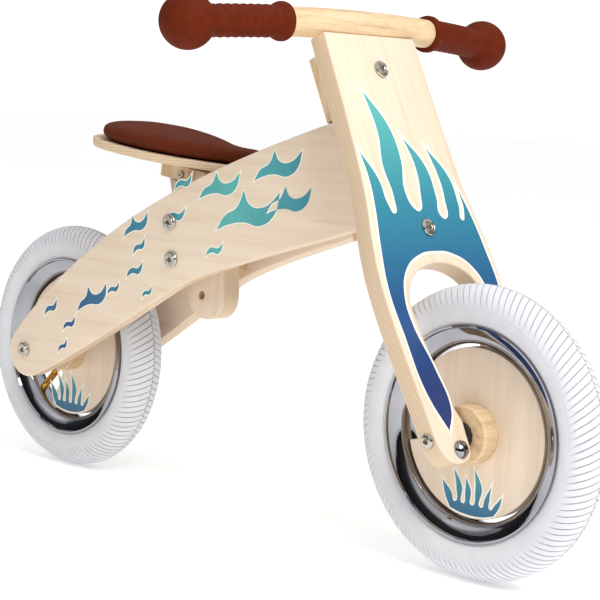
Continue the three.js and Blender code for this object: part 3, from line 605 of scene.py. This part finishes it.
remesh = cushion.modifiers.new("remesh", "REMESH")
remesh.mode, remesh.voxel_size = "VOXEL", 4.5 * MM
only(cushion)
bpy.ops.object.modifier_apply(modifier="remesh")
pinned = cushion.vertex_groups.new(name="underside")
pinned.add([v.index for v in cushion.data.vertices if above_board(v.co) < 2.5], 1.0, "REPLACE")
before = [v.co.copy() for v in cushion.data.vertices]
cloth = cushion.modifiers.new("cloth", "CLOTH")
cloth.settings.use_pressure = True
cloth.settings.uniform_pressure_force = 4
cloth.settings.effector_weights.gravity = 0
cloth.settings.vertex_group_mass = "underside"
cloth.point_cache.frame_start, cloth.point_cache.frame_end = 1, 20
for number in range(1, 21):
    bpy.context.scene.frame_set(number)
only(cushion)
bpy.ops.object.modifier_apply(modifier="cloth")
bpy.context.scene.frame_set(1)
limit = 7 * MM
for vertex, start in zip(cushion.data.vertices, before):
    moved = vertex.co - start
    if moved.length > limit:
        vertex.co = start + moved * (limit / moved.length)
only(cushion)
for modifier, settings in (("CORRECTIVE_SMOOTH", None), ("SUBSURF", 1)):
    added = cushion.modifiers.new("even", modifier)
    if modifier == "SUBSURF":
        added.levels = added.render_levels = settings
    else:
        added.iterations, added.use_only_smooth = 8, True
    bpy.ops.object.modifier_apply(modifier=added.name)
bpy.ops.object.shade_smooth()
finish_piece(cushion, "seat", brown_hide, ["seat_cushion"])
print("pad stands", round(max(above_board(v.co) for v in cushion.data.vertices), 1), "mm over the board")

# %% [markdown]
# ## Wheels
# A pale air-filled tyre sits on a dished, plated rim. The carcass is turned, and the tread is separate
# slanted bars that meet in a herringbone, which is how such a tyre is moulded.

# %% Tyres, rims and hubs
crown = [(85, 12.6), (90, 13.4), (95.4, 15.6), (99, 18.8), (103, 20.4), (108, 20.9), (113, 20.4),
         (117.5, 18.6), (121.5, 15.4), (124.6, 11.4), (126.7, 7.4), (127.8, 3.6), (128.2, 0)]
inside = [(124, 0), (121, 8), (114, 15), (107, 16.5), (98, 12.2), (85, 8.6)]
tyre_section = crown + [(r, -y) for r, y in reversed(crown[:-1])]
tyre_section += [(r, -y) for r, y in reversed(inside)] + inside[1:]
rim_section = [(78.1, 7.9), (82, 12.6), (86.6, 14.6), (91.8, 15.8), (92.8, 17.9), (94.3, 18.1), (94.6, 16.6),
               (92, 11.5), (89, 6.0), (88, 0)]
rim_section += [(r, -y) for r, y in reversed(rim_section[:-1])] + [(78.1, 0)]
hub_section = [(10.3, 7.8), (26, 7.8), (26, 23.6), (24.6, 25), (10.3, 25)]
valve_section = [(0, 44), (2.2, 44), (3.0, 44.8), (3.0, 50.5)]
for ridge in range(14):
    valve_section += [(3.9, 51 + ridge * 1.3), (3.4, 51.65 + ridge * 1.3)]
valve_section += [(4, 70), (4, 80), (0, 80)]


skin = np.array(list(reversed(crown[3:])))  # from the crown's middle to the side wall
skin_run = np.concatenate([[0], np.cumsum(np.hypot(*np.diff(skin, axis=0).T))])
TREAD_RUN, TREAD_BARS = 29.0, 116


def on_skin(run, raised):
    """Radius and distance from the middle, at a run along the tyre's skin and a height above it."""
    radius, across = (float(np.interp(run, skin_run, skin[:, k])) for k in (0, 1))
    lean = math.atan2(*(np.interp(run + 1, skin_run, skin[:, k]) - np.interp(run - 1, skin_run, skin[:, k])
                        for k in (1, 0)))
    return radius + raised * math.sin(lean), across - raised * math.cos(lean)


def tread(name, side, place):
    """One bar is shaped from a subdivided cube, and an array turns it round the wheel."""
    start_clean()
    bpy.ops.mesh.primitive_cube_add(size=1)
    bar = bpy.context.object
    bar.name = bar.data.name = name
    bpy.ops.object.mode_set(mode="EDIT")
    for cut in (-0.38, -0.25, -0.12, 0.0, 0.12, 0.25, 0.38):
        bpy.ops.mesh.select_all(action="SELECT")
        bpy.ops.mesh.bisect(plane_co=(0, 0, cut), plane_no=(0, 0, 1))
    bpy.ops.object.mode_set(mode="OBJECT")
    pitch = 2 * math.pi / TREAD_BARS
    for vertex in bar.data.vertices:
        share = vertex.co.z + 0.5
        fade = 1 - 0.75 * share**2
        raised = 1.35 * fade if vertex.co.y > 0 else -0.9
        radius, across = on_skin(0.6 + TREAD_RUN * share, raised)
        width = pitch * (0.86 - 0.05 * (vertex.co.y > 0))
        angle = 0.115 * share + vertex.co.x * width + (pitch / 2 if side > 0 else 0)
        across = max(across, 0.5)
        vertex.co = (radius * math.cos(angle) * MM, radius * math.sin(angle) * MM, side * across * MM)
    turner = bpy.data.objects.new(name + "_turn", None)
    bpy.context.scene.collection.objects.link(turner)
    turner.rotation_euler = (0, 0, pitch)
    bpy.context.view_layer.update()
    array = bar.modifiers.new("round", "ARRAY")
    array.use_relative_offset, array.use_object_offset = False, True
    array.offset_object, array.count = turner, TREAD_BARS
    only(bar)
    bpy.ops.object.modifier_apply(modifier="round")
    bpy.data.objects.remove(turner)
    tidy_mesh(bar, 1e-7)
    return settle(bar, place, 30)


def notched_disc(name, middle, place):
    opening = 22
    loop = circle_of((0, 0), 74.8, middle + opening, middle - opening + 360, 120)
    loop += circle_of((0, 0), 34, middle - opening + 360, middle + opening + 360, 30)
    return sawn(name, [loop], 15, 0.7, place)


for wheel, axle, notch in (("rear", REAR_AXLE, 225), ("front", FRONT_AXLE, 172)):
    body = f"{wheel}_wheel"
    across = facing((0, 1, 0), axle)
    flat = matrix_of(Vector((1, 0, 0)), Vector((0, 0, 1)), Vector((0, -1, 0)), axle)
    tyre = spun(f"{wheel}_tyre_body", tyre_section, 128, across, 50)
    finish_piece(tyre, body, tyre_rubber(f"{wheel}_tyre_rubber", axle), [f"{wheel}_tyre"])
    for side, word in ((-1, "right"), (1, "left")):
        finish_piece(tread(f"{wheel}_tread_{word}", side, across), body, white_tyre)
        hub_place = across @ (Matrix.Identity(4) if side > 0 else Matrix.Rotation(math.pi, 4, "X"))
        hub = spun(f"{wheel}_hub_{word}_fine", hub_section, 64, hub_place)
        finish_piece(hub, body, beech_across, [f"{wheel}_hub_{word}"])
    rim = spun(f"{wheel}_rim_fine", rim_section, 128, across, 40)
    finish_piece(rim, body, chrome, [f"{wheel}_rim"])
    disc = notched_disc(f"{wheel}_disc_fine", notch, flat)
    finish_piece(disc, body, ply_disc, [f"{wheel}_disc"])
    outward = (math.cos(math.radians(notch)), 0, math.sin(math.radians(notch)))
    valve = spun(f"{wheel}_valve_fine", valve_section, 24, facing(outward, axle), 30)
    finish_piece(valve, body, brass, [f"{wheel}_valve"])

# %% [markdown]
# ## Handlebar
# The bar is one dowel swept gently back, with moulded rubber grips that end in safety balls. Both are
# turned straight and then bent along the same arc, so they stay on one line.

# %% Bar and grips
SWEEP = 1078


def bent_back(obj):
    """The turned axis runs along z; it becomes left, with the middle of the arc ahead of the ends."""
    for vertex in obj.data.vertices:
        along, ahead, up = vertex.co.z / MM, vertex.co.x / MM, vertex.co.y / MM
        angle, radius = along / SWEEP, SWEEP + ahead
        vertex.co = ((radius * math.cos(angle) - SWEEP) * MM, radius * math.sin(angle) * MM, up * MM)
    obj.data.flip_normals()


def along_bar(first, last, pitch=12):
    return np.linspace(first, last, int(abs(last - first) / pitch) + 2)


bar_place = FORK @ Matrix.Translation((29 * MM, 0, (TOP + 13.3 - 0.7) * MM))
bar_section = [(0, -191)] + [(10.8, -191), (10.8, -93.7)]
bar_section += [(13.3, y) for y in along_bar(-93.7, 93.7)]
bar_section += [(10.8, 93.7), (10.8, 191), (0, 191)]
bar = spun("handlebar_fine", bar_section, 48, bar_place, 35, bent_back)
finish_piece(bar, "fork", beech_across, ["handlebar"])


def grip_section(sign):
    loop = [(11.1, 93.8), (15.6, 93.8), (16.9, 94.8), (17.5, 97), (17.4, 100), (16.6, 102.4), (15.0, 104)]
    for y in np.arange(105, 172, 1.0):
        loop.append((14.1 + 0.4 * math.sin((y - 105) * 2 * math.pi / 8.2), y))
    neck = math.asin(14.4 / 24.4)
    for step in range(25):
        angle = neck + (math.pi - neck) * step / 24
        loop.append((24.4 * math.sin(angle), 197 - 24.4 * math.cos(angle)))
    loop += [(0, 193), (11.1, 193)]
    return [(r, sign * y) for r, y in loop]


for sign, word in ((1, "left"), (-1, "right")):
    grip = spun(f"grip_{word}_fine", grip_section(sign), 56, bar_place, 60, bent_back)
    finish_piece(grip, "fork", brown_rubber, [f"grip_{word}"])

# %% [markdown]
# ## Fasteners
# The visible bolts have wide flat heads with a hexagon socket. A turned head gets its round recess pulled
# out to six sides, so the socket is a real hollow.

# %% Bolts


def hexagon_socket(obj):
    """Pulls the recess wall, the ring nearest the axis, from a circle to a hexagon."""
    for vertex in obj.data.vertices:
        radius = math.hypot(vertex.co.x, vertex.co.y)
        if 0.1 * MM < radius < 2.9 * MM:
            angle = math.atan2(vertex.co.y, vertex.co.x) % (math.pi / 3) - math.pi / 6
            wide = 0.92 / math.cos(angle)
            vertex.co.x *= wide
            vertex.co.y *= wide


FLAT_HEAD = [(0, 1.0), (2.7, 1.0), (2.8, 3.0), (3.2, 3.3), (5.2, 3.2), (5.5, 2.7), (5.9, 2.7), (6.3, 3.0),
             (7.2, 2.8), (7.9, 1.9), (7.9, 0), (0, 0)]
SMALL_HEAD = [(0, 1.2), (2.5, 1.2), (2.6, 3.6), (3.1, 4.0), (5.2, 3.6), (6.4, 2.5), (6.7, 1.2), (6.7, 0),
              (0, 0)]
DOME_HEAD = [(0, 3.4), (2.2, 3.4), (2.3, 5.9), (2.8, 6.0), (4.6, 5.3), (6.6, 3.9), (7.8, 1.9), (8.1, 0),
             (0, 0)]
CAP_HEAD = [(0, 3.2), (3.0, 3.1), (5.6, 2.6), (7.2, 1.6), (7.9, 0.4), (7.9, 0), (0, 0)]


def head(name, section, place, body, finish, replaced, socket=True):
    made = spun(name, section, 48, place, 30, hexagon_socket if socket else None)
    finish_piece(made, body, finish, replaced)


for number, up in ((1, 338), (2, 186)):
    spot = FORK @ Vector((BOARD_FACE * MM, 0, up * MM))
    place = facing(AHEAD, spot)
    head(f"fork_bolt_{number}_fine", FLAT_HEAD, place, "fork", nickel, [f"fork_bolt_{number}"])
for side, word in ((-1, "right"), (1, "left")):
    spot = FORK @ Vector((BOARD_FACE * MM, side * 43 * MM, -13 * MM))
    place = facing(AHEAD, spot)
    head(f"leg_bolt_{word}_fine", DOME_HEAD, place, "fork", chrome, [f"leg_bolt_{word}"])
    spot = FRONT_AXLE + Vector((0, side * 68.8 * MM, 0))
    head(f"front_axle_bolt_{word}_fine", SMALL_HEAD, facing((0, side, 0), spot), "fork", nickel,
         [f"front_axle_bolt_{word}"])
    out = panel_matrix(side, 0).to_3x3() @ Vector((0, 0, 1))
    spot = panel_matrix(side, 0) @ Vector((0, 0, 0))
    head(f"rear_axle_bolt_{word}_fine", FLAT_HEAD, facing(out, spot), "frame", nickel,
         [f"rear_axle_bolt_{word}"])
lean = math.radians(6.2)
for number, (x, z) in ((1, (BOLT_X, BOLT_Z)),
                       (2, (BOLT_X + 36.5 * math.sin(lean), BOLT_Z - 36.5 * math.cos(lean)))):
    for side, section, kind in ((-1, FLAT_HEAD, "seat_bolt"), (1, CAP_HEAD, "seat_nut")):
        out = panel_matrix(side, 0).to_3x3() @ Vector((0, 0, 1))
        spot = panel_matrix(side, 0) @ Vector((x * stretch * MM, z * MM, 0))
        place = facing(out, spot)
        head(f"{kind}_{number}_fine", section, place, "frame", nickel, [f"{kind}_{number}"],
             kind == "seat_bolt")

# %% [markdown]
# ## Prints
# The bike is decorated with plain flames. Each tongue is a flat curve, drawn point by point with sharp
# tips, and a second, slightly larger one below it is the pale outline.

# %% Drawing flames


def flat_print(name, loops, place, grow, lift):
    """Loops hold (x, y) or (x, y, 'tip') in millimetres; grow widens the shape for its pale outline."""
    curve = bpy.data.curves.new(name, "CURVE")
    curve.dimensions, curve.fill_mode = "2D", "BOTH"
    curve.resolution_u = 10
    for loop in loops:
        spline = curve.splines.new("BEZIER")
        spline.bezier_points.add(len(loop) - 1)
        for point, (x, y, *tip) in zip(spline.bezier_points, loop):
            point.co = (x * MM, y * MM, 0)
            point.handle_left_type = point.handle_right_type = "VECTOR" if tip else "AUTO"
        spline.use_cyclic_u = True
    curve.extrude = 0.03 * MM
    curve.offset = grow * MM
    obj = bpy.data.objects.new(name, curve)
    start_clean()
    bpy.context.scene.collection.objects.link(obj)
    only(obj)
    bpy.ops.object.convert(target="MESH")
    obj = bpy.context.object
    tidy_mesh(obj, 1e-6)
    return settle(obj, place @ Matrix.Translation((0, 0, lift * MM)), 20)


def printed(name, loops, place, body, ink, border=2.2):
    finish_piece(flat_print(name + "_outline", loops, place, border, 0.08), body, halo)
    finish_piece(flat_print(name, loops, place, 0, 0.18), body, ink)


fork_flame = [
    (-50, 4, "tip"), (-65, 40), (-71, 90), (-74, 132), (-68, 172), (-61, 205), (-58, 232), (-60, 258, "tip"),
    (-46, 232), (-43, 208), (-38, 200), (-33, 214), (-35, 245), (-29, 276), (-33, 316, "tip"), (-12, 282),
    (-9, 250), (-16, 220), (-10, 204), (-3, 202), (4, 218), (8, 244), (2, 272, "tip"), (22, 244), (24, 214),
    (22, 198), (29, 194), (35, 212), (36, 232), (30, 262, "tip"), (50, 234), (52, 206), (51, 192), (57, 200),
    (58, 222, "tip"), (66, 192), (71, 160), (74, 132), (71, 90), (65, 40), (50, 4, "tip"), (40, 22), (45, 58),
    (57, 100), (57, 124), (45, 148), (20, 162), (0, 164), (-20, 162), (-45, 148), (-57, 124), (-57, 100),
    (-45, 58), (-40, 22)]
printed("fork_flame", [fork_flame], BOARD_FRONT, "fork", ink_fork)

STREAK = [(0, 0, "tip"), (0.16, 0.16), (0.40, 0.21), (0.68, 0.14), (1.0, 0.26, "tip"), (0.84, 0.05),
          (0.62, -0.03), (0.40, 0.05), (0.18, 0.05)]
SPLIT = [(0, 0, "tip"), (0.15, 0.16), (0.34, 0.23), (0.48, 0.42, "tip"), (0.54, 0.23), (0.74, 0.17),
         (1.0, 0.31, "tip"), (0.86, 0.04), (0.64, -0.05), (0.42, 0.03), (0.18, 0.04)]


def flame(shape, x, y, size, turn, slim):
    """One flame, set down by its tail."""
    c, s = math.cos(math.radians(turn)), math.sin(math.radians(turn))
    made = []
    for px, py, *tip in shape:
        px, py = px * size, py * size * slim
        made.append((x + px * c - py * s, y + px * s + py * c, *tip))
    return made


small = [(30, 40, 24, 30), (52, 4, 18, 35), (58, 28, 22, 26), (146, 92, 26, 22), (154, 116, 22, 34),
         (168, 74, 17, 28), (250, 124, 24, 16), (196, 152, 28, 14), (206, 184, 26, 20), (120, 72, 20, 24)]
large = [(78, 50, 50, 24), (140, 132, 40, 26), (238, 178, 56, 14), (262, 150, 84, 13), (306, 200, 62, 14),
         (322, 170, 58, 13)]
for side, word in ((-1, "right"), (1, "left")):
    flames = [flame(STREAK, x * stretch, y, size, turn, 1.3) for x, y, size, turn in small]
    flames += [flame(SPLIT, x * stretch, y, size, turn, 0.9) for x, y, size, turn in large]
    printed(f"panel_flames_{word}", flames, panel_matrix(side, 0), "frame", ink_panel, 1.0)

disc_flame = [
    (-22, -69, "tip"), (-28, -59), (-32, -46, "tip"), (-21, -56), (-17, -63), (-16, -50), (-20, -34, "tip"),
    (-10, -48), (-8, -63), (-6, -52), (-6, -40, "tip"), (0, -50), (2, -63), (5, -50), (3, -31, "tip"),
    (12, -46), (12, -63), (16, -54), (22, -43, "tip"), (21, -54), (22, -63), (27, -58), (34, -50, "tip"),
    (32, -59), (26, -68, "tip"), (12, -71.5), (-10, -71.5)]
for wheel, axle, ink in (("rear", REAR_AXLE, ink_rear_disc), ("front", FRONT_AXLE, ink_front_disc)):
    for side, word in ((-1, "right"), (1, "left")):
        origin = axle + LEFT * side * 7.5 * MM
        face = matrix_of(Vector((1, 0, 0)), Vector((0, 0, 1)), Vector((0, side, 0)), origin)
        printed(f"{wheel}_flame_{word}", [disc_flame], face, f"{wheel}_wheel", ink, 1.4)

# %% [markdown]
# ## Pieces that keep their CAD shape
# The remaining pieces are plain blocks, pins and rings whose shape is already right. Each gets the finish
# of its real material, and the upright beech blocks a small rounded edge.

# %% Finishes on the rest
rest = {
    "beech_upright": (beech_upright, ["head_block", "fork_block_lower", "fork_block_upper",
                                      "post_cheek_right",
                                      "post_cheek_left", "seat_cleat_right", "seat_cleat_left"]),
    "beech_across": (beech_across, ["head_peg_1", "bar_peg_1", "bar_peg_2", "rear_spacer_right",
                                    "rear_spacer_left"]),
    "nickel": (nickel, ["rear_axle", "front_axle", "steering_pin", "steering_nut", "seat_screw_right",
                        "seat_screw_left", "seat_cross_bolt"]),
    "nylon": (black_nylon, ["steering_washer_lower", "steering_washer_upper", "front_spacer_right",
                            "front_spacer_left", "rear_bush", "front_bush"]),
    "rubber": (black_rubber, ["rear_inner_tube", "front_inner_tube"]),
}
for kind, (finish, names) in rest.items():
    for name in names:
        piece = nodes[name]
        piece.data.materials.clear()
        piece.data.materials.append(finish)
        if kind == "beech_upright":
            weld = piece.modifiers.new("weld", "WELD")
            weld.merge_threshold = 1e-5
            soften = piece.modifiers.new("soften", "BEVEL")
            soften.width, soften.segments, soften.limit_method = 0.9 * MM, 2, "ANGLE"
            soften.angle_limit = math.radians(50)
shown = [name for name, obj in nodes.items() if not obj.hide_render]
print("CAD pieces still shown:", len(shown), sorted(set(shown) - {n for _, ns in rest.values() for n in ns}))

# %% [markdown]
# ## Studio
# A pale floor, wide soft lights and one long lens give the even look of a catalogue picture.

# %% Floor, light and camera
start_clean()
bpy.ops.mesh.primitive_plane_add(size=30, location=(0, 0, -0.0002))
floor = bpy.context.object
floor.name = "floor"
floor_paint = plain_finish("floor_paint", (0.96, 0.96, 0.96), (0.97, 0.97, 0.97), 0.9, scale=4.0)
floor_glow = floor_paint.node_tree.nodes["Principled BSDF"].inputs
floor_glow["Emission Color"].default_value = (1, 1, 1, 1)
floor_glow["Emission Strength"].default_value = 0.35
floor.data.materials.append(floor_paint)

bpy.context.scene.view_settings.view_transform = "Standard"
world = bpy.context.scene.world or bpy.data.worlds.new("studio")
bpy.context.scene.world = world
world.use_nodes = True
sky = world.node_tree
direction = node(sky, "ShaderNodeTexCoord").outputs["Generated"]
height = node(sky, "ShaderNodeSeparateXYZ", Vector=direction).outputs["Z"]
room = ramp(sky, height, [
    (0.0, linear(0.12, 0.12, 0.13)), (0.38, linear(0.30, 0.30, 0.31)), (0.6, (1, 1, 1, 1))])
seen = node(sky, "ShaderNodeLightPath").outputs["Is Camera Ray"]
background = sky.nodes["Background"]
sky.links.new(mixed(sky, seen, room, (1.2, 1.2, 1.2, 1)), background.inputs[0])
background.inputs[1].default_value = 0.92


def soft_light(name, place, size, watts):
    start_clean()
    bpy.ops.object.light_add(type="AREA", location=place)
    lamp = bpy.context.object
    lamp.name = name
    lamp.data.shape, lamp.data.size, lamp.data.energy = "DISK", size, watts
    lamp.rotation_euler = (Vector((0, 0, 0.2)) - Vector(place)).to_track_quat("-Z", "Y").to_euler()


soft_light("key", (1.9, -0.5, 2.0), 1.6, 52)
soft_light("fill", (-1.6, -1.6, 1.5), 2.0, 3)

CAMERA_PLACE, LENS = Vector((1.2037, -1.1825, 0.4154)), 104.95
AZIMUTH, ELEVATION, ROLL = math.radians(134.166), math.radians(-6.792), math.radians(2.854)
level = math.cos(ELEVATION)
look = Vector((level * math.cos(AZIMUTH), level * math.sin(AZIMUTH), math.sin(ELEVATION)))
right = look.cross(Vector((0, 0, 1))).normalized()
up = right.cross(look)
rolled_right = right * math.cos(ROLL) + up * math.sin(ROLL)
rolled_up = up * math.cos(ROLL) - right * math.sin(ROLL)
camera_data = bpy.data.cameras.new("camera")
camera_data.sensor_width, camera_data.lens = 36, LENS
camera = bpy.data.objects.new("camera", camera_data)
bpy.context.scene.collection.objects.link(camera)
camera.matrix_world = matrix_of(rolled_right, rolled_up, -look, CAMERA_PLACE)
bpy.context.scene.camera = camera
